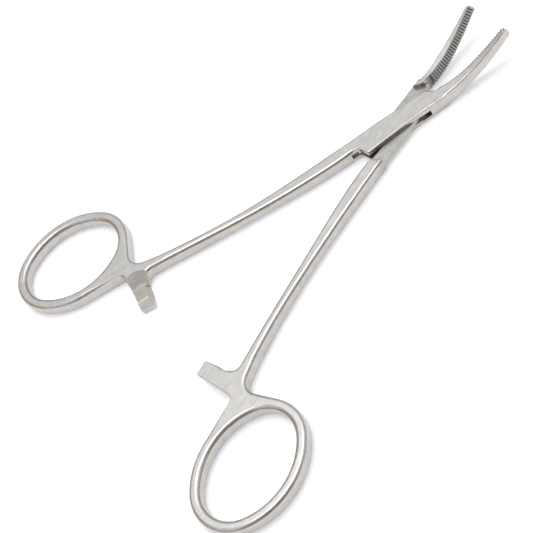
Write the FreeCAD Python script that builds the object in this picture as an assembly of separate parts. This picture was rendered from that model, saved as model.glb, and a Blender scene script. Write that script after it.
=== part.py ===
import FreeCAD, Part
import math
import os

V = FreeCAD.Vector

# Curved artery forceps with a box lock, all lengths in millimetres, angles in degrees.
# Closed, the forceps lie along Y with the tips at +Y, the finger rings at -Y and the table at z = 0.
# The origin is the point where the pivot axis meets the table.
# The female half has its ring at -X and its jaw at +X, and the male half passes through its slot.

# Whole instrument
thick = 3.5
mid = thick / 2
open_half = 10.9

# Box lock
box_half = 2.8
box_flank = 3.2
flank_r = 0.6
corner_r = 0.8
slot_h = 1.4
slot_gap = 0.04
slot_r = 6.9
tenon_r = 6.8
tenon_half = 2.8
split_gap = 0.06
shoulder_gap = 0.14
plate_low = 10.05
plate_root = 11.2
plate_high = 8.2
plate_bay_x = -1.3
plate_bay_y = 9.55
plate_bay_r = 1.0
face_start = 11.0
scallop_r = 0.9
edge_r = 0.2
near_corner_r = 0.3
near_turn_y = 1.0
far_turn_y = 4.0
side_turn_r = 8.0
slot_root_r = 1.2
shoulder_r = 1.45

# Pivot pin, riveted flush in the female half and free to turn in the male half
pin_r = 1.1
pin_gap = 0.04

# Shanks, by the distance s below the pivot
root_s = 12.5
neck_s = 61.0
in_s = 18.0
flank_in = 0.12
in_spread = 5.63
in_power = 1.3
out_taper = 2.05
out_spread = 3.05
out_power = 3
waist = 0.8
root_r = flank_r
neck_r = 0.85
neck_lap = 0.2
neck_turn_r = 1.2
stations = 9

# Finger ring; a drop is a distance below the shoulder, where the shank ends
ring_x = -22.8
ring_drop = 19.1
ring_a = 13.6
ring_b = 10.6
ring_end_r = 8.9
ring_tilt = 4.4
ring_wire = 2.55
hole_r = 1.0
crook_out_x = -10.55
crook_out_drop = 7.65
crook_out_r = 3.2
crook_in_x = -10.05
crook_in_drop = 9.8
crook_in_r = 1.7

# Ratchet bar: the female half has the lower one, the male half the same one turned over
bar_tip = 1.45
bar_drop = 6.9
bar_width = 3.4
bar_skew = 0.5
bar_edge_r = 0.2
bar_corner_r = 0.4
bar_bevel = 0.4
bevel_angle = 60
root_x = -6.6
root_drop = 5.25
root_turn_r = 2.0
tooth_pitch = 1.55
tooth_first = -1.2
tooth_up = 0.3
tooth_down = 0.4
tooth_back = 0.15
tooth_count = 3
lead_drop = 0.65
land = 0.2
run_r = 4.1
run_x = -4.0
run_drop = 8.0
run_slope = 45

# Jaws, curved upwards in the Y-Z plane
tip_y = 29.5
tip_rise = 5.8
bend_y = 9.0
bend_power = 1.8
tip_h = 2.45
jaw_w = 2.35
tip_w = 1.25
taper_power = 1.9
jaw_start = 4.0
female_root = 2.5
male_root = 3.4
root_reach = 12.5
root_full = 7.5
ridge_in = 0.35
ridge_r = 0.3
belly_r = 1.1
nose = 0.5
nose_turn = 64
nose_flat = 0.3
part_off = 0.8
part_y = 17.5
part_power = 1.5
rake_y = 11.9
rake_pitch = 0.66
rake_depth = 0.34
rake_gap = 0.06
rake_over = 1.12
smooth_gap = 0.03

# Well beyond the box lock, for the ends of cutting tools, and the reach of a search for edges
far = 20.0
touch = 0.01


def rounded_wire(corners, place):
    """A closed wire through (a, b, radius) corners, put in space by place(a, b)."""
    starts = []
    edges = []
    count = len(corners)
    for i in range(count):
        p = V(corners[i][0], corners[i][1], 0)
        r = corners[i][2]
        before = V(corners[i - 1][0], corners[i - 1][1], 0) - p
        after = V(corners[(i + 1) % count][0], corners[(i + 1) % count][1], 0) - p
        before.normalize()
        after.normalize()
        half = before.getAngle(after) / 2
        reach = r / math.tan(half)
        inward = before + after
        inward.normalize()
        crown = p + inward * (r / math.sin(half) - r)
        starts.append((p + before * reach, crown, p + after * reach, r))
    for i in range(count):
        first, crown, last, r = starts[i]
        if r > 0:
            ends = [place(p.x, p.y) for p in (first, crown, last)]
            edges.append(Part.Arc(ends[0], ends[1], ends[2]).toShape())
        nxt = starts[(i + 1) % count][0]
        if last.distanceToPoint(nxt) > 1e-6:
            edges.append(Part.makeLine(place(last.x, last.y), place(nxt.x, nxt.y)))
    return Part.Wire(edges)


def flat(a, b):
    return V(a, b, 0)


def slab(corners, low, high):
    """A plan outline raised from low to high."""
    face = Part.Face(rounded_wire(corners, flat))
    face.translate(V(0, 0, low))
    return face.extrude(V(0, 0, high - low))


def rim_edges(solid, keep):
    """Edges in the top and bottom planes whose middle passes the test keep."""
    picked = []
    for e in solid.Edges:
        box = e.BoundBox
        level = box.ZLength < 1e-4 and (abs(box.ZMin) < 1e-4 or abs(box.ZMax - thick) < 1e-4)
        if level and keep(e.valueAt((e.FirstParameter + e.LastParameter) / 2)):
            picked.append(e)
    return picked


def ring_frame():
    tilt = math.radians(ring_tilt)
    along = V(math.sin(tilt), math.cos(tilt), 0)
    across = V(math.cos(tilt), -math.sin(tilt), 0)
    return V(ring_x, -neck_s - ring_drop, 0), along, across


def oval_arcs(grow):
    """Centres and radii of the arcs of the ring's oval, and the direction of the joint between them."""
    centre, along, across = ring_frame()
    side_r = (ring_a ** 2 + ring_b ** 2 - 2 * ring_a * ring_end_r) / (2 * (ring_b - ring_end_r))
    lean = math.atan2(side_r - ring_b, ring_a - ring_end_r)
    end = centre + along * (ring_a - ring_end_r)
    side = centre + across * (ring_b - side_r)
    return (end, ring_end_r + grow), (side, side_r + grow), lean


def oval_face(grow):
    """The ring's oval of four arcs, its centreline moved outwards by grow."""
    centre, along, across = ring_frame()
    (end, end_r), (side, side_r), lean = oval_arcs(grow)
    edges = []
    for k in (1, -1):
        end_k = centre + (end - centre) * k
        side_k = centre + (side - centre) * k
        joints = []
        for turn in (-lean, 0, lean, math.pi / 2, math.pi - lean):
            joints.append((along * math.cos(turn) + across * math.sin(turn)) * k)
        edges.append(Part.Arc(end_k + joints[0] * end_r, end_k + joints[1] * end_r,
                              end_k + joints[2] * end_r).toShape())
        edges.append(Part.Arc(side_k + joints[2] * side_r, side_k + joints[3] * side_r,
                              side_k + joints[4] * side_r).toShape())
    return Part.Face(Part.Wire(edges))


def tangent_point(p, arc, side):
    """Where the line from p touches the arc's circle, on one side or the other."""
    centre, r = arc
    away = p - centre
    turn = math.atan2(away.y, away.x) + side * math.acos(r / away.Length)
    return centre + V(r * math.cos(turn), r * math.sin(turn), 0)


def inner_flank(s):
    if s <= in_s:
        return flank_in
    return flank_in + in_spread * ((s - in_s) / (neck_s - in_s)) ** in_power


def outer_flank(s):
    u = (s - root_s) / (neck_s - root_s)
    return box_flank + out_taper * u + out_spread * u ** out_power


def shank():
    """The shank of the half whose ring is at -X, through rounded sections."""
    sections = []
    for i in range(stations):
        u = i / (stations - 1)
        s = root_s + (neck_s - root_s) * u
        left = -outer_flank(s)
        right = -inner_flank(s)
        high = (thick - waist * math.sin(math.pi * u) ** 2) / 2
        r = root_r + (neck_r - root_r) * math.sin(math.pi * u / 2)
        corners = [(left, -high, r), (right, -high, r), (right, high, r), (left, high, r)]
        sections.append(rounded_wire(corners, lambda a, b: V(a, -s, mid + b)))
    return Part.makeLoft(sections, True, False)


def neck_and_ring():
    """The ring, the neck that joins it to the shank and the bar beside it, one rounded plate."""
    centre, along, across = ring_frame()
    end, side, lean = oval_arcs(ring_wire / 2)
    crook_out = V(crook_out_x, -neck_s - crook_out_drop, 0)
    crook_in = V(crook_in_x, -neck_s - crook_in_drop, 0)
    bar_root = V(root_x, -neck_s - root_drop, 0)
    bar_top = -neck_s - bar_drop
    top = tangent_point(crook_out, end, 1)
    low = tangent_point(crook_in, side, -1)
    outline = [
        (-inner_flank(neck_s), -neck_s, 0),
        (-outer_flank(neck_s), -neck_s, 0),
        (-outer_flank(neck_s), -neck_s - neck_lap, neck_turn_r),
        (crook_out.x, crook_out.y, crook_out_r),
        (top.x, top.y, 0),
        (centre.x, centre.y, 0),
        (low.x, low.y, 0),
        (crook_in.x, crook_in.y, crook_in_r),
        (bar_tip - bar_skew, bar_top - bar_width, bar_corner_r),
        (bar_tip, bar_top, bar_corner_r),
        (bar_root.x, bar_root.y, root_turn_r),
        (-inner_flank(neck_s), -neck_s - neck_lap, neck_turn_r),
    ]
    disc = oval_face(ring_wire / 2).extrude(V(0, 0, thick))
    body = disc.fuse(slab(outline, 0, thick)).removeSplitter()
    body = body.cut(oval_face(-ring_wire / 2).extrude(V(0, 0, thick)))

    def on_hole(p):
        q = p - V(centre.x, centre.y, p.z)
        return math.hypot(q.dot(along) / ring_a, q.dot(across) / ring_b) < 1

    body = body.makeFillet(hole_r, rim_edges(body, on_hole))

    def radii(e):
        """The rounding at both ends of an edge: full on neck and ring, small on the bar."""
        p = e.valueAt((e.FirstParameter + e.LastParameter) / 2)
        p.z = 0
        if p.distanceToPoint(crook_in) < crook_in_r or p.distanceToPoint(bar_root) < root_turn_r:
            if e.valueAt(e.FirstParameter).x > e.valueAt(e.LastParameter).x:
                return bar_edge_r, neck_r
            return neck_r, bar_edge_r
        if p.x > root_x + root_turn_r:
            return bar_edge_r, bar_edge_r
        return neck_r, neck_r

    rim = rim_edges(body, lambda p: not on_hole(p) and p.y < -neck_s - touch)
    return graded_fillet(body, rim, radii)


def graded_fillet(body, edges, radii):
    """Rounds the edges in one go, each with the radius at its start and end from radii(edge)."""
    doc = FreeCAD.newDocument("rounding")
    base = doc.addObject("Part::Feature", "base")
    base.Shape = body
    rows = []
    for number, e in enumerate(base.Shape.Edges, 1):
        if any(e.isSame(f) for f in edges):
            rows.append((number,) + radii(e))
    rounded = doc.addObject("Part::Fillet", "rounded")
    rounded.Base = base
    rounded.Edges = rows
    doc.recompute()
    shape = rounded.Shape.copy()
    FreeCAD.closeDocument(doc.Name)
    return shape


def ratchet_clear():
    """The tool that leaves the bar's teeth and the round recess beside them in the neck."""
    crest = mid + tooth_up
    floor = mid - tooth_down
    run_y = -neck_s - run_drop
    end = bar_tip + thick
    slope = (tooth_up + lead_drop) / (bar_tip - tooth_first)
    profile = [V(end, 0, 2 * thick), V(end, 0, crest - slope * (end - tooth_first))]
    for i in range(tooth_count):
        x = tooth_first - tooth_pitch * i
        profile.append(V(x, 0, crest))
        profile.append(V(x - tooth_back, 0, floor))
    split = x - tooth_back - land
    profile.append(V(split, 0, floor))
    profile.append(V(split, 0, 2 * thick))
    face = Part.Face(Part.makePolygon(profile + [profile[0]]))
    face.translate(V(0, run_y - run_r, 0))
    above = face.extrude(V(0, 2 * run_r, 0))
    bevel_y = -neck_s - bar_drop - bar_bevel
    fall = math.radians(bevel_angle)
    inner = V(split, bevel_y, crest)
    outer = inner + V(0, math.cos(fall), -math.sin(fall)) * thick
    bevel = Part.makePolygon([inner, outer, V(split, outer.y, crest), inner])
    above = above.fuse(Part.Face(bevel).extrude(V(end - split, 0, 0)))
    steep = math.tan(math.radians(run_slope))
    foot = run_r - (thick - floor) / steep
    well = Part.makeCone(foot, run_r + thick / steep, 2 * thick - floor, V(run_x, run_y, floor))
    side = Part.makeBox(2 * run_r, 4 * run_r, 2 * thick, V(split - 2 * run_r, run_y - 2 * run_r, 0))
    return above.fuse(well.common(side))


def arm():
    """Shank, neck, ring and ratchet bar of the female half."""
    return shank().fuse(neck_and_ring()).cut(ratchet_clear()).removeSplitter()


def rise(y):
    if y <= bend_y:
        return 0.0
    return tip_rise * ((y - bend_y) / (tip_y - bend_y)) ** bend_power


def climb(y):
    """Angle of the jaw's centre line above the table, in radians."""
    if y <= bend_y:
        return 0.0
    span = tip_y - bend_y
    return math.atan(tip_rise * bend_power / span * ((y - bend_y) / span) ** (bend_power - 1))


def on_jaw(y, a, b):
    """A point of the cross-section at y: a sideways, b along the section's own height."""
    t = climb(y)
    return V(a, y - b * math.sin(t), mid + rise(y) + b * math.cos(t))


def parting(y):
    """How far the meeting faces lie to -X of the middle near the box, where the jaws never touch."""
    return part_off * (max(part_y - y, 0) / (part_y - face_start)) ** part_power


def jaw(female, crest):
    """The curved jaw at +X, its face at crest, with a blunt round nose."""
    if female:
        root_w = female_root
        lean = -1
    else:
        root_w = male_root
        lean = 1

    def section(y, shrink):
        u = max((y - bend_y) / (tip_y - bend_y), 0)
        v = min(max((root_reach - y) / (root_reach - root_full), 0), 1)
        out = jaw_w - (jaw_w - tip_w) * u ** taper_power + (root_w - jaw_w) * v * v * (3 - 2 * v)
        high = (thick - (thick - tip_h) * u) / 2
        inner = crest + lean * parting(max(y, face_start))
        belly = belly_r * high / (thick / 2)
        corners = [
            (inner, -high * shrink, 0),
            (inner + (out - inner) * shrink, -high * shrink, belly * shrink),
            (inner + (out - ridge_in - inner) * shrink, high * shrink, ridge_r * shrink),
            (inner, high * shrink, 0),
        ]
        return rounded_wire(corners, lambda a, b: on_jaw(y, a, b))

    neck = tip_y - nose
    span = (neck - jaw_start) / (stations - 1)
    body = Part.makeLoft([section(jaw_start + span * i, 1) for i in range(stations)], True, False)
    round_end = []
    for i in range(5):
        turn = math.radians(nose_turn * i / 4)
        round_end.append(section(neck + nose * math.sin(turn), nose_flat + (1 - nose_flat) * math.cos(turn)))
    return body.fuse(Part.makeLoft(round_end, True, False))


def grooves(phase, crest, lean):
    """V grooves square to the jaw; phase in pitches, crest the face that they start from."""
    tools = []
    y = rake_y
    step = rake_pitch * phase
    while y < tip_y + rake_pitch:
        y = y + step * math.cos(climb(y))
        step = rake_pitch
        t = climb(y)
        ahead = V(0, math.cos(t), math.sin(t))
        up = V(0, -math.sin(t), math.cos(t))
        inner = crest + lean * parting(y)
        centre = V(0, y, mid + rise(y)) - up * thick
        wide = ahead * (rake_pitch * rake_over)
        mouth = V(inner - rake_depth, 0, 0)
        apex = V(inner + rake_depth, 0, 0)
        corners = [centre + mouth - wide, centre + apex, centre + mouth + wide]
        tri = Part.makePolygon(corners + [corners[0]])
        tools.append(Part.Face(tri).extrude(up * (2 * thick)))
    return tools


def serrated_jaw(female):
    """A jaw at +X; the grooves of the two halves are half a pitch apart, so that they mesh closed."""
    if female:
        crest = -rake_depth / 2
        phase = 0.5
        lean = -1
    else:
        crest = -rake_depth / 2 + rake_gap
        phase = 1.0
        lean = 1
    body = jaw(female, crest)
    first = rake_y + rake_pitch * (phase - 0.5)
    smooth = Part.makeBox(far, first + far, 3 * thick, V(smooth_gap + lean * part_off - far, -far, -thick))
    body = body.cut(smooth)
    return body.cut(grooves(phase, crest, lean))


def distal_edge(gap):
    """The edge of the plates towards the jaws, from the meeting faces to the far side."""
    return [
        (smooth_gap - part_off, face_start + gap, 0),
        (plate_bay_x, plate_bay_y + gap, plate_bay_r),
        (-box_half, plate_high + gap, corner_r),
    ]


def female_half():
    plan = [
        (box_half, -plate_low, near_corner_r),
        (female_root - ridge_in, near_turn_y, side_turn_r),
        (female_root - ridge_in, face_start, 0),
    ] + distal_edge(0) + [
        (-box_half, far_turn_y, side_turn_r),
        (-box_flank, -far_turn_y, side_turn_r),
        (-box_flank, -root_s, 0),
        (-flank_in, -root_s, 0),
        (-flank_in, -plate_root, slot_root_r),
    ]
    block = slab(plan, 0, thick)
    flank = rim_edges(block, lambda p: p.x < -(box_half + box_flank) / 2 and p.y > -root_s)
    block = block.makeFillet(flank_r, flank)
    near = rim_edges(block, lambda p: p.x > -corner_r and -root_s < p.y < plate_high)
    block = block.makeFillet(edge_r, near)
    body = arm().fuse(block).fuse(serrated_jaw(True))
    floor = mid - slot_h / 2
    void = Part.makeCylinder(slot_r, slot_h, V(0, 0, floor))
    void = void.fuse(Part.makeBox(far, far, slot_h, V(split_gap - far, 0, floor)))
    slot_end = plate_root + slot_root_r
    void = void.fuse(Part.makeBox(far, slot_end, slot_h, V(-flank_in - slot_gap, -slot_end, floor)))
    void = void.fuse(Part.makeCylinder(scallop_r, slot_h, V(flank_in, -slot_end, floor)))
    body = body.cut(void)
    return body.cut(Part.makeCylinder(pin_r, thick, V(0, 0, 0)))


def male_half():
    back = arm()
    back.rotate(V(0, 0, mid), V(0, 1, 0), 180)
    drop = plate_low + shoulder_gap
    plan = [
        (box_flank, -drop, 0),
        (flank_in, -plate_root - shoulder_gap, shoulder_r),
        (flank_in, -root_s, 0),
        (box_flank, -root_s, 0),
    ]
    root = slab(plan, 0, thick)
    root = root.makeFillet(flank_r, rim_edges(root, lambda p: p.x > box_half))
    corner = rim_edges(root, lambda p: -root_s < p.y and p.x < box_flank - flank_r - touch)
    root = root.makeFillet(edge_r, corner)
    front = serrated_jaw(False).mirror(V(0, 0, 0), V(1, 0, 0))
    away = distal_edge(shoulder_gap) + [
        (-far, plate_high - box_half, 0),
        (-far, -far, 0),
        (far, -far, 0),
        (far, face_start + shoulder_gap, 0),
    ]
    front = front.cut(slab(away, -thick, 3 * thick))
    low = mid - slot_h / 2 + slot_gap
    high = slot_h - 2 * slot_gap
    disc = Part.makeCylinder(tenon_r, high, V(0, 0, low))
    disc = disc.common(Part.makeBox(2 * tenon_half, 2 * far, high, V(-tenon_half, -far, low)))
    ahead = Part.makeBox(male_root, face_start, high, V(-male_root, 0, low))
    ahead = ahead.cut(Part.makeBox(far, far, high, V(-part_off, face_start - 1, low)))
    behind = Part.makeBox(tenon_half - flank_in, root_s, high, V(flank_in, -root_s, low))
    body = back.fuse(root).fuse(front).fuse(disc).fuse(ahead).fuse(behind)
    return body.cut(Part.makeCylinder(pin_r + pin_gap, thick, V(0, 0, 0)))


def save(name, shape, turn):
    shape = shape.removeSplitter()
    shape.rotate(V(0, 0, 0), V(0, 0, 1), turn)
    print(name, "valid", shape.isValid(), "solids", len(shape.Solids), "faces", len(shape.Faces),
          "volume %.1f" % shape.Volume)
    if len(shape.Solids) == 1:
        shape = shape.Solids[0]
    shape.exportStep("parts/" + name + ".step")


os.makedirs("parts", exist_ok=True)
save("female_half", female_half(), -open_half)
save("male_half", male_half(), open_half)
save("pivot_pin", Part.makeCylinder(pin_r, thick, V(0, 0, 0)), -open_half)
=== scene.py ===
# %% [markdown]
# Curved hemostat forceps, satin stainless steel, lying open on a light table.
#
# The real instrument is three pieces of steel: two forged halves and the pin of the box lock.
# The construction arrives as a finished frame, true to size, so this lesson gives it what the
# frame can't hold: the finish that grinding and brushing leave on each surface, and the light
# that shows it.

# %% Load the frame
import math

import bpy
from mathutils import Matrix, Vector


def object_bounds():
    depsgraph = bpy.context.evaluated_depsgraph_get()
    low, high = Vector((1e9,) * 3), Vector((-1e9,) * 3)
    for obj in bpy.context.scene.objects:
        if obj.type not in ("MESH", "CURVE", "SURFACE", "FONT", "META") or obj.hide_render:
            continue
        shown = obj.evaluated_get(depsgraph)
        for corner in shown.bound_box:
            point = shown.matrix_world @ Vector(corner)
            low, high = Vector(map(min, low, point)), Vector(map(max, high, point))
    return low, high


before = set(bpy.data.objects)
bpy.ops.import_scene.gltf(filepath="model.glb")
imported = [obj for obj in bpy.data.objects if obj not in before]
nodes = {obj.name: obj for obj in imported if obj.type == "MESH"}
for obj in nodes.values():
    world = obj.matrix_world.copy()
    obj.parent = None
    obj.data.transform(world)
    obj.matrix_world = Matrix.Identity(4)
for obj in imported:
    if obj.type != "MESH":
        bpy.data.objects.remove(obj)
cad_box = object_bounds()
MM = 0.001
print("nodes:", sorted(nodes), "size in mm:", [round(x / MM, 1) for x in cad_box[1] - cad_box[0]])

# %% [markdown]
# Colours are chosen as a screen shows them, in sRGB hex. A shader works in linear light, so one
# function turns the one into the other. A second one adds a shader node and sets its inputs.

# %% Colour and node helpers


def linear(hex_code):
    """A linear RGBA colour from an sRGB hex code."""
    parts = [int(hex_code[i:i + 2], 16) / 255 for i in (1, 3, 5)]
    return tuple(c / 12.92 if c <= 0.04045 else ((c + 0.055) / 1.055) ** 2.4 for c in parts) + (1.0,)


def add(tree, kind, inputs=None, **settings):
    """A new node of a kind, with its settings, and its inputs linked or given a value."""
    node = tree.nodes.new("ShaderNode" + kind)
    for name, value in settings.items():
        if hasattr(node, name):
            setattr(node, name, value)
        else:
            node.inputs[name.replace("_", " ")].default_value = value
    for socket, source in (inputs or {}).items():
        if isinstance(source, bpy.types.NodeSocket):
            tree.links.new(source, node.inputs[socket])
        else:
            node.inputs[socket].default_value = source
    return node


# %% [markdown]
# The camera stands where the photographer stood: about 300 mm away, high on the right of the
# forceps, and turned so that the jaws point up and to the right. A long lens keeps the two rings
# nearly the same size. The picture is square, and its optical centre is a little off the middle.

# %% Camera
PICTURE = 533
FOCAL_PX = 1399.454
SENSOR = 36.0
CENTRE_PX = (299.141, 261.894)
TARGET = Vector((8.284, -37.875, 1.75)) * MM
DISTANCE = 300.69 * MM
AZIMUTH = math.radians(84.499)
ELEVATION = math.radians(51.634)
ROLL = math.radians(-39.211)
CLIP_START = 0.01


def towards(azimuth, elevation):
    """A unit vector; azimuth 0 is -Y and 90 degrees is +X."""
    return Vector((math.sin(azimuth) * math.cos(elevation), -math.cos(azimuth) * math.cos(elevation),
                   math.sin(elevation)))


def make_camera():
    """The camera at the photograph's viewing angle."""
    back = towards(AZIMUTH, ELEVATION)
    level = Vector((math.cos(AZIMUTH), math.sin(AZIMUTH), 0))
    rise = level.cross(-back)
    right = level * math.cos(ROLL) + rise * math.sin(ROLL)
    up = rise * math.cos(ROLL) - level * math.sin(ROLL)
    data = bpy.data.cameras.new("camera")
    data.lens = FOCAL_PX / PICTURE * SENSOR
    data.sensor_width = SENSOR
    data.shift_x = -(CENTRE_PX[0] - PICTURE / 2) / PICTURE
    data.shift_y = (CENTRE_PX[1] - PICTURE / 2) / PICTURE
    data.clip_start = CLIP_START
    camera = bpy.data.objects.new("camera", data)
    camera.matrix_world = Matrix((
        (right.x, up.x, back.x, TARGET.x + back.x * DISTANCE),
        (right.y, up.y, back.y, TARGET.y + back.y * DISTANCE),
        (right.z, up.z, back.z, TARGET.z + back.z * DISTANCE),
        (0, 0, 0, 1),
    ))
    bpy.context.scene.collection.objects.link(camera)
    bpy.context.scene.camera = camera
    return camera


camera = make_camera()
print("lens in mm:", round(camera.data.lens, 1))

# %% [markdown]
# The forceps lie on a light table, a white sheet that is lit a little from below as well. In the
# picture it is a shade brighter than white can be, so that only the faint shadow close under the
# steel still shows. The view transform is the plain one, which keeps white as white.

# %% Floor
GLOW = 0.3
HALF_SHEET = 1.5
SHEET_GAP = 0.02 * MM
bpy.context.scene.view_settings.view_transform = "Standard"


def make_floor():
    """A large white sheet just below the height that the forceps lie on."""
    half = HALF_SHEET
    level = cad_box[0].z - SHEET_GAP
    mesh = bpy.data.meshes.new("floor")
    mesh.from_pydata([(-half, -half, level), (half, -half, level), (half, half, level), (-half, half, level)],
                     [], [(0, 1, 2, 3)])
    floor = bpy.data.objects.new("floor", mesh)
    bpy.context.scene.collection.objects.link(floor)
    material = bpy.data.materials.new("white_acrylic")
    material.use_nodes = True
    shader = material.node_tree.nodes["Principled BSDF"]
    shader.inputs["Base Color"].default_value = linear("#F9F9FB")
    shader.inputs["Roughness"].default_value = 0.9
    shader.inputs["Specular IOR Level"].default_value = 0.1
    shader.inputs["Emission Color"].default_value = linear("#F8F9FF")
    shader.inputs["Emission Strength"].default_value = GLOW
    mesh.materials.append(material)


make_floor()

# %% [markdown]
# Bright metal is a picture of what surrounds it. A white tent lights the forceps evenly. The dark
# place in it is the gap that the photographer looks through, and a warmer wall shows dimly further
# round. Each is given as its brightness, its tint, where its centre lies and how wide it is, in
# degrees. Flat tops mirror the tent and turn light, rounded shoulders mirror the gap and turn dark,
# and the sides mirror the white table.
#
# A large soft box hangs nearly overhead. It draws a bright line along the shoulders and lays the
# faint, close shadow on the table.

# %% Light
TENT = 1.0
TENT_CLOTH = "#F6F8FC"
HEM = 0.12
HEM_TOP = math.radians(38)
GAP = (0.28, "#FFF2DC", 84, 32, 22, 54)
WALL = (0.5, "#FFE6D0", 320, 20, 12, 38)
LAMP_AZIMUTH = math.radians(250)
LAMP_ELEVATION = math.radians(80)
LAMP_DISTANCE = 1.0
LAMP_SIZE = 0.45
LAMP_POWER = 2.9
LAMP_AIM = Vector((0, -0.03, 0))


def dark_place(tree, where, behind, level, tint, azimuth, elevation, inner, outer):
    """The tent with one darker place in it, which fades out from inner to outer degrees."""
    centre = towards(math.radians(azimuth), math.radians(elevation))
    facing = add(tree, "VectorMath", {0: where, 1: centre}, operation="DOT_PRODUCT").outputs["Value"]
    mask = add(tree, "MapRange", {"Value": facing}, interpolation_type="SMOOTHSTEP",
               From_Min=math.cos(math.radians(outer)), From_Max=math.cos(math.radians(inner)))
    dark = tuple(c * level for c in linear(tint)[:3])
    mixed = add(tree, "Mix", {"Factor": mask.outputs["Result"], 4: behind, 5: dark}, data_type="VECTOR")
    return mixed.outputs[1]


def make_tent():
    """The room as a white tent, dimmer towards its hem, with the photographer's gap and a wall."""
    world = bpy.data.worlds.new("tent")
    world.use_nodes = True
    tree = world.node_tree
    where = add(tree, "TexCoord").outputs["Generated"]
    height = add(tree, "SeparateXYZ", {"Vector": where}).outputs["Z"]
    level = add(tree, "MapRange", {"Value": height}, From_Max=math.sin(HEM_TOP), To_Min=HEM, To_Max=TENT)
    cloth = add(tree, "VectorMath", {0: linear(TENT_CLOTH)[:3], "Scale": level.outputs["Result"]},
                operation="SCALE").outputs["Vector"]
    cloth = dark_place(tree, where, cloth, *WALL)
    cloth = dark_place(tree, where, cloth, *GAP)
    tree.links.new(cloth, tree.nodes["Background"].inputs["Color"])
    bpy.context.scene.world = world


def soft_box():
    """A square lamp nearly overhead, aimed at the forceps; metres, radians and watts."""
    data = bpy.data.lights.new("overhead_box", "AREA")
    data.size = LAMP_SIZE
    data.energy = LAMP_POWER
    lamp = bpy.data.objects.new("overhead_box", data)
    aim = towards(LAMP_AZIMUTH, LAMP_ELEVATION)
    lamp.location = LAMP_AIM + aim * LAMP_DISTANCE
    lamp.rotation_mode = "QUATERNION"
    lamp.rotation_quaternion = aim.to_track_quat("Z", "Y")
    bpy.context.scene.collection.objects.link(lamp)


make_tent()
soft_box()

# %% [markdown]
# Satin stainless steel: martensitic steel, forged, ground on belts and brushed. Grinding leaves
# fine parallel lines along each shank, and the brush crosses the box with slanted strokes. Real
# lines are finer than a pixel of the picture, so these are about as wide as one pixel or two. The
# steel is slightly warm and scatters light enough to blur what it mirrors.
#
# The serrations are light on their crests, and their grooves are darkened with painted shade. The
# face of the ratchet bar and its round recess are cut after the polish, so they are matt, and the
# crest that the other bar rubs on is burnished and carries a painted highlight. The male half is
# given painted shade at the box, where its tenon lies recessed under the female half's plate.
#
# Each half lies turned about the pivot, so its pattern is laid out in its own closed position.
# The lengths below are in mm. A pair of lengths says where a soft edge starts and where it is full,
# and a pair of tones says what its two ends look like, as a share of the steel's own tone.

# %% Marks on the steel
OPEN = math.radians(10.9)
STROKE = math.radians(-27)
STEEL = "#C8C5C0"
LINE_WIDTH = 0.25
LINE_RATIO = 0.03
STROKE_WIDTH = 0.45
STROKE_RATIO = 0.1
CLOUD_WIDTH = 1.6
NOISE_RANGE = (0.3, 0.7)
BOX_BACK = (-12.5, -11)
BOX_FRONT = (13, 10)
BEND_RANGE = (17.5, 11)
BEND_POWER = 1.5
BEND_SHIFT = 0.8
TEETH_START = (10.6, 11.2)
TEETH_DEPTH = (0.34, 0.26)
GROOVE_DEPTH = (-0.12, 0.14)
BAR_SIDE = (-4.8, -4.6)
BAR_BACK = (-73, -72.8)
BAR_FRONT = (-66, -66.2)
RECESS_CENTRE = (-4.0, -69.0)
RECESS_RADIUS = (4.14, 4.08)
CUT_BELOW_TOP = (3.49, 3.47)
CUT_ABOVE_FLOOR = (0.01, 0.03)
CUT_FACING = (0.2, 0.4)
CREST_BACK = (-1.42, -1.36)
CREST_FRONT = (-1.0, -1.06)
CREST_ABOVE = (1.9, 2.0)
CREST_BELOW = (1.6, 1.5)
# Painted shade in the serration grooves.
GROOVE_SHADE_TONES = (0.95, 0.42)
STREAK_TONES = (0.93, 1.05)
CUT_STREAK_TONES = (0.84, 1.1)
CLOUD_TONES = (0.9, 1.08)
CUT_TONE = 1.05
# Painted highlight on the burnished crest of the ratchet tooth.
CREST_HIGHLIGHT_TONE = 1.7
PLATE_TONE = 1.0
# Painted shade on the male half at the box, where its tenon lies under the female plate.
TENON_SHADE_TONE = 0.84
ROUGHNESS = (0.26, 0.38)
CUT_ROUGHNESS = 0.45
CUT_METALLIC = 0.4
BUMP_STRENGTH = 0.6
BUMP_HEIGHT = 0.015

# %% [markdown]
# A pattern is built from small steps: a soft edge at a place, a product of several edges, and a
# value that runs from one tone to another. Stretched noise gives the fine lines.

# %% Pattern helpers


def blend(tree, mask, first, second):
    """A value that runs from first to second as the mask goes from 0 to 1."""
    return add(tree, "MapRange", {"Value": mask}, To_Min=first, To_Max=second).outputs["Result"]


def step(tree, value, low, high):
    """A soft step from 0 at low to 1 at high."""
    return add(tree, "MapRange", {"Value": value}, interpolation_type="SMOOTHSTEP", From_Min=low,
               From_Max=high).outputs["Result"]


def edge(tree, value, ends):
    """A soft step over a length; its two ends are given in mm."""
    return step(tree, value, ends[0] * MM, ends[1] * MM)


def times(tree, *values):
    """The product of several values."""
    result = values[0]
    for value in values[1:]:
        result = add(tree, "Math", {0: result, 1: value}, operation="MULTIPLY").outputs["Value"]
    return result


def spread(tree, noise, first, second):
    """The middle part of a noise, stretched to run from first to second."""
    return add(tree, "MapRange", {"Value": noise, "To Min": first, "To Max": second},
               From_Min=NOISE_RANGE[0], From_Max=NOISE_RANGE[1]).outputs["Result"]


def grain(tree, vector, ratio, width):
    """Fine lines that run along Y, of about the given width in mm; a value from 0 to 1."""
    drawn = add(tree, "Mapping", {"Vector": vector}, Scale=(1.0, ratio, 1.0)).outputs["Vector"]
    return add(tree, "TexNoise", {"Vector": drawn}, Scale=1 / (width * MM), Detail=3.0,
               Roughness=0.6).outputs["Fac"]


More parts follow.
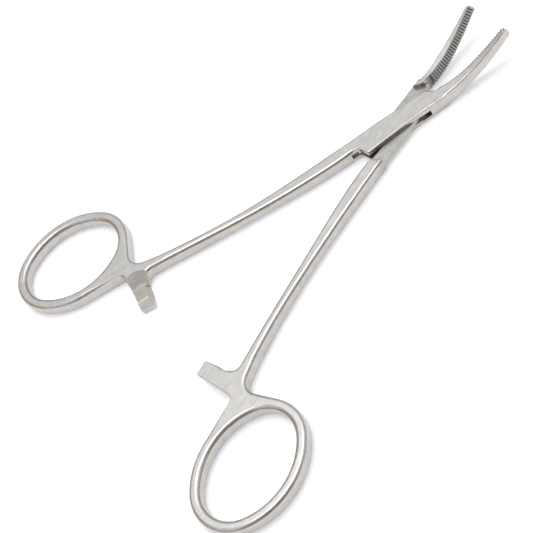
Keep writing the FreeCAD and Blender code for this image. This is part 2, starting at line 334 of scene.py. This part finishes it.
# %% [markdown]
# The serrations follow the faces where the jaws part, which bend aside near the box, and painted
# shade darkens their grooves. The cut mask covers the ratchet bar and its recess, and the crest mask
# picks the one burnished tooth that gets a painted highlight.

# %% Masks


def groove_shade_tone(tree, x, y, upward):
    """The tone of the serrated faces, with painted shade in the grooves; 1 on the rest of the half."""
    near = add(tree, "MapRange", {"Value": y}, From_Min=BEND_RANGE[0] * MM,
               From_Max=BEND_RANGE[1] * MM).outputs["Result"]
    bent = add(tree, "Math", {0: near, 1: BEND_POWER}, operation="POWER").outputs["Value"]
    depth = add(tree, "Math", {0: x, 1: times(tree, bent, BEND_SHIFT * MM)}, operation="ADD").outputs["Value"]
    depth = depth if upward else times(tree, depth, -1.0)
    raked = times(tree, edge(tree, y, TEETH_START), edge(tree, depth, TEETH_DEPTH))
    painted_groove_shade = blend(tree, edge(tree, depth, GROOVE_DEPTH), *GROOVE_SHADE_TONES)
    return add(tree, "Mix", {"Factor": raked, "A": 1.0, "B": painted_groove_shade}).outputs["Result"]


def cut_mask(tree, across, y, z, facing, upward):
    """The matt face of the ratchet bar and its round recess."""
    centre = (RECESS_CENTRE[0] * MM, RECESS_CENTRE[1] * MM, 0)
    flat = add(tree, "CombineXYZ", {"X": across, "Y": y}).outputs["Vector"]
    reach = add(tree, "VectorMath", {0: flat, 1: centre}, operation="DISTANCE").outputs["Value"]
    recess = edge(tree, reach, RECESS_RADIUS)
    bar = times(tree, edge(tree, across, BAR_SIDE), edge(tree, y, BAR_BACK), edge(tree, y, BAR_FRONT))
    cut = add(tree, "Math", {0: bar, 1: recess}, operation="MAXIMUM").outputs["Value"]
    if upward:
        return times(tree, cut, edge(tree, z, CUT_BELOW_TOP), step(tree, facing, *CUT_FACING))
    return times(tree, cut, edge(tree, z, CUT_ABOVE_FLOOR),
                 step(tree, facing, -CUT_FACING[0], -CUT_FACING[1]))


def crest_highlight_mask(tree, across, z, cut, upward):
    """The burnished crest of the ratchet tooth that the other bar rubs on, where a painted highlight goes."""
    return times(tree, edge(tree, across, CREST_BACK), edge(tree, across, CREST_FRONT),
                 edge(tree, z, CREST_ABOVE if upward else CREST_BELOW), cut)


# %% [markdown]
# One function makes the steel of one half, from the way the half is turned and the way its teeth
# face. The female half's ratchet teeth face up and the male half's face down, towards each other.
# The pin is ground flush with the female half and polished over with it, so it has its steel.

# %% Steel


def satin_steel(name, turn, upward):
    """Satin stainless steel of one half, turned about the pivot; its teeth face up or down."""
    material = bpy.data.materials.new(name)
    material.use_nodes = True
    tree = material.node_tree
    shader = tree.nodes["Principled BSDF"]
    shader.inputs["Metallic"].default_value = 1.0
    where = add(tree, "TexCoord")
    closed = add(tree, "Mapping", {"Vector": where.outputs["Object"]},
                 Rotation=(0, 0, turn)).outputs["Vector"]
    place = add(tree, "SeparateXYZ", {"Vector": closed})
    x, y, z = place.outputs["X"], place.outputs["Y"], place.outputs["Z"]
    across = x if upward else times(tree, x, -1.0)
    facing = add(tree, "SeparateXYZ", {"Vector": where.outputs["Normal"]}).outputs["Z"]

    slant = add(tree, "Mapping", {"Vector": closed}, Rotation=(0, 0, STROKE if upward else -STROKE))
    strokes = grain(tree, slant.outputs["Vector"], STROKE_RATIO, STROKE_WIDTH)
    lines = grain(tree, closed, LINE_RATIO, LINE_WIDTH)
    box = times(tree, edge(tree, y, BOX_BACK), edge(tree, y, BOX_FRONT))
    lines = add(tree, "Mix", {"Factor": box, "A": lines, "B": strokes}).outputs["Result"]
    clouds = add(tree, "TexNoise", {"Vector": closed}, Scale=1 / (CLOUD_WIDTH * MM), Detail=6.0,
                 Roughness=0.65).outputs["Fac"]
    cut = cut_mask(tree, across, y, z, facing, upward)
    crest = crest_highlight_mask(tree, across, z, cut, upward)

    streak = spread(tree, lines, blend(tree, cut, STREAK_TONES[0], CUT_STREAK_TONES[0]),
                    blend(tree, cut, STREAK_TONES[1], CUT_STREAK_TONES[1]))
    # The tone carries painted shade in the grooves and on the male half at the box, and a painted highlight
    # on the rubbed crest.
    tone = times(tree, streak, spread(tree, clouds, *CLOUD_TONES), groove_shade_tone(tree, x, y, upward),
                 blend(tree, cut, 1.0, CUT_TONE), blend(tree, crest, 1.0, CREST_HIGHLIGHT_TONE),
                 blend(tree, box, 1.0, PLATE_TONE if upward else TENON_SHADE_TONE))
    colour = add(tree, "VectorMath", {0: linear(STEEL)[:3], "Scale": tone}, operation="SCALE")
    tree.links.new(colour.outputs["Vector"], shader.inputs["Base Color"])

    rough = spread(tree, lines, *ROUGHNESS)
    rough = add(tree, "Math", {0: rough, 1: blend(tree, cut, 0.0, CUT_ROUGHNESS)}, operation="ADD")
    tree.links.new(rough.outputs["Value"], shader.inputs["Roughness"])
    tree.links.new(blend(tree, cut, 1.0, CUT_METALLIC), shader.inputs["Metallic"])
    bump = add(tree, "Bump", {"Height": lines}, Strength=BUMP_STRENGTH, Distance=BUMP_HEIGHT * MM)
    tree.links.new(bump.outputs["Normal"], shader.inputs["Normal"])
    return material


female_steel = satin_steel("satin_stainless_steel_female", OPEN, True)
male_steel = satin_steel("satin_stainless_steel_male", -OPEN, False)
finish = {"female_half": female_steel, "male_half": male_steel, "pivot_pin": female_steel}
for name, node in nodes.items():
    node.data.materials.clear()
    node.data.materials.append(finish[name])
print("finish:", {name: finish[name].name for name in sorted(nodes)})
